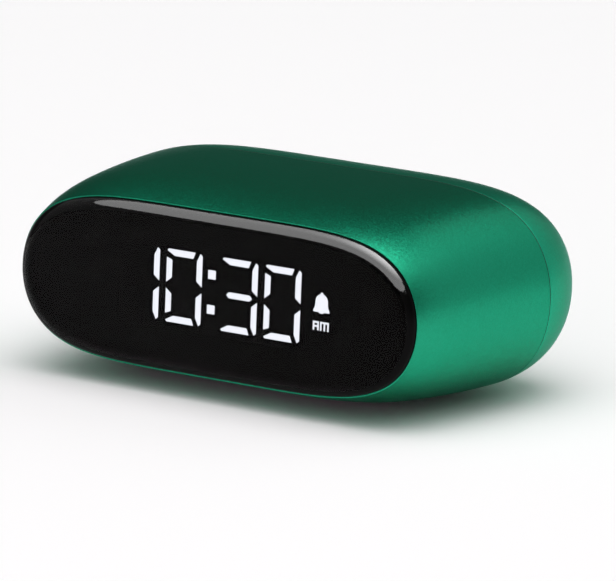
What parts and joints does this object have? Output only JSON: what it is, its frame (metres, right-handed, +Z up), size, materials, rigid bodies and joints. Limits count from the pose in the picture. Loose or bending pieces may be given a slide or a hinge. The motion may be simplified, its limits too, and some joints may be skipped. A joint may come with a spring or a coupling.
{
  "type": "digital alarm clock",
  "caption": "Rounded lacquered alarm clock with a proud smoked window over a lit segment display, and push buttons, an alarm slide switch and a charging socket on its rear face.",
  "frame": {"origin": "middle of the bounding box in X and Y, on the plane of the feet", "axes": "+X to the right seen from the front, +Y to the back, +Z up"},
  "size_m": [0.1, 0.0632, 0.0404],
  "materials": {
    "housing_lacquer": "metallic green lacquer on moulded plastic",
    "cover_lacquer": "satin green lacquer on moulded plastic",
    "smoked_acrylic": "polished smoked acrylic",
    "black_print": "screen print",
    "tape": "adhesive foam",
    "black_plastic": "moulded",
    "lit_resin": "milky resin, lit from behind",
    "dark_resin": "milky resin, unlit behind the smoked window",
    "led_chip": "clear resin",
    "circuit_board": "solder mask",
    "screw_steel": "zinc plated",
    "foam": "foam tape",
    "battery_foil": "laminated foil pouch",
    "red_wire": "wire insulation",
    "black_wire": "wire insulation",
    "yellow_wire": "wire insulation",
    "ribbon": "flat cable insulation",
    "copper_foil": "bare copper",
    "white_plastic": "moulded",
    "button_plastic": "moulded, fine matt grain",
    "switch_can": "stamped steel",
    "socket_steel": "drawn steel",
    "brass": "knurled brass",
    "rubber": "moulded rubber"
  },
  "bodies": {
    "clock": {"main_housing": "housing_lacquer", "rear_cover": "cover_lacquer", "front_window": "smoked_acrylic", "window_print": "black_print", "window_tape": "tape", "display_reflector": "black_plastic", "lit_segments": "lit_resin", "unlit_segments": "dark_resin", "display_leds": "led_chip", "display_board": "circuit_board", "display_chips": "black_plastic", "display_screws": "screw_steel", "battery_tray": "black_plastic", "tray_screws": "screw_steel", "battery_pad": "foam", "battery": "battery_foil", "red_lead": "red_wire", "black_lead": "black_wire", "battery_plug": "white_plastic", "ribbon_cable": "ribbon", "touch_foil": "copper_foil", "touch_lead": "yellow_wire", "main_board": "circuit_board", "board_components": "black_plastic", "board_screws": "screw_steel", "tact_switches": "black_plastic", "slide_switch": "switch_can", "inlet_shell": "socket_steel", "inlet_tongue": "black_plastic", "buzzer": "black_plastic", "cover_screws": "screw_steel", "brass_inserts": "brass", "rubber_feet": "rubber"},
    "set_button": {"set_button": "button_plastic", "set_plunger": "white_plastic"},
    "up_button": {"up_button": "button_plastic", "up_plunger": "white_plastic"},
    "down_button": {"down_button": "button_plastic", "down_plunger": "white_plastic"},
    "alarm_slider": {"alarm_slider": "button_plastic", "slide_actuator": "white_plastic"}
  },
  "joints": [
    {"name": "set_button_press", "type": "slide", "parent": "clock", "child": "set_button", "axis": [0, -1, 0], "range_m": [0, 0.0005], "stiffness_N_per_m": 800, "springref_m": -0.0005},
    {"name": "up_button_press", "type": "slide", "parent": "clock", "child": "up_button", "axis": [0, -1, 0], "range_m": [0, 0.0005], "stiffness_N_per_m": 800, "springref_m": -0.0005},
    {"name": "down_button_press", "type": "slide", "parent": "clock", "child": "down_button", "axis": [0, -1, 0], "range_m": [0, 0.0005], "stiffness_N_per_m": 800, "springref_m": -0.0005},
    {"name": "alarm_slide", "type": "slide", "parent": "clock", "child": "alarm_slider", "axis": [-1, 0, 0], "range_m": [0, 0.003]}
  ]
}
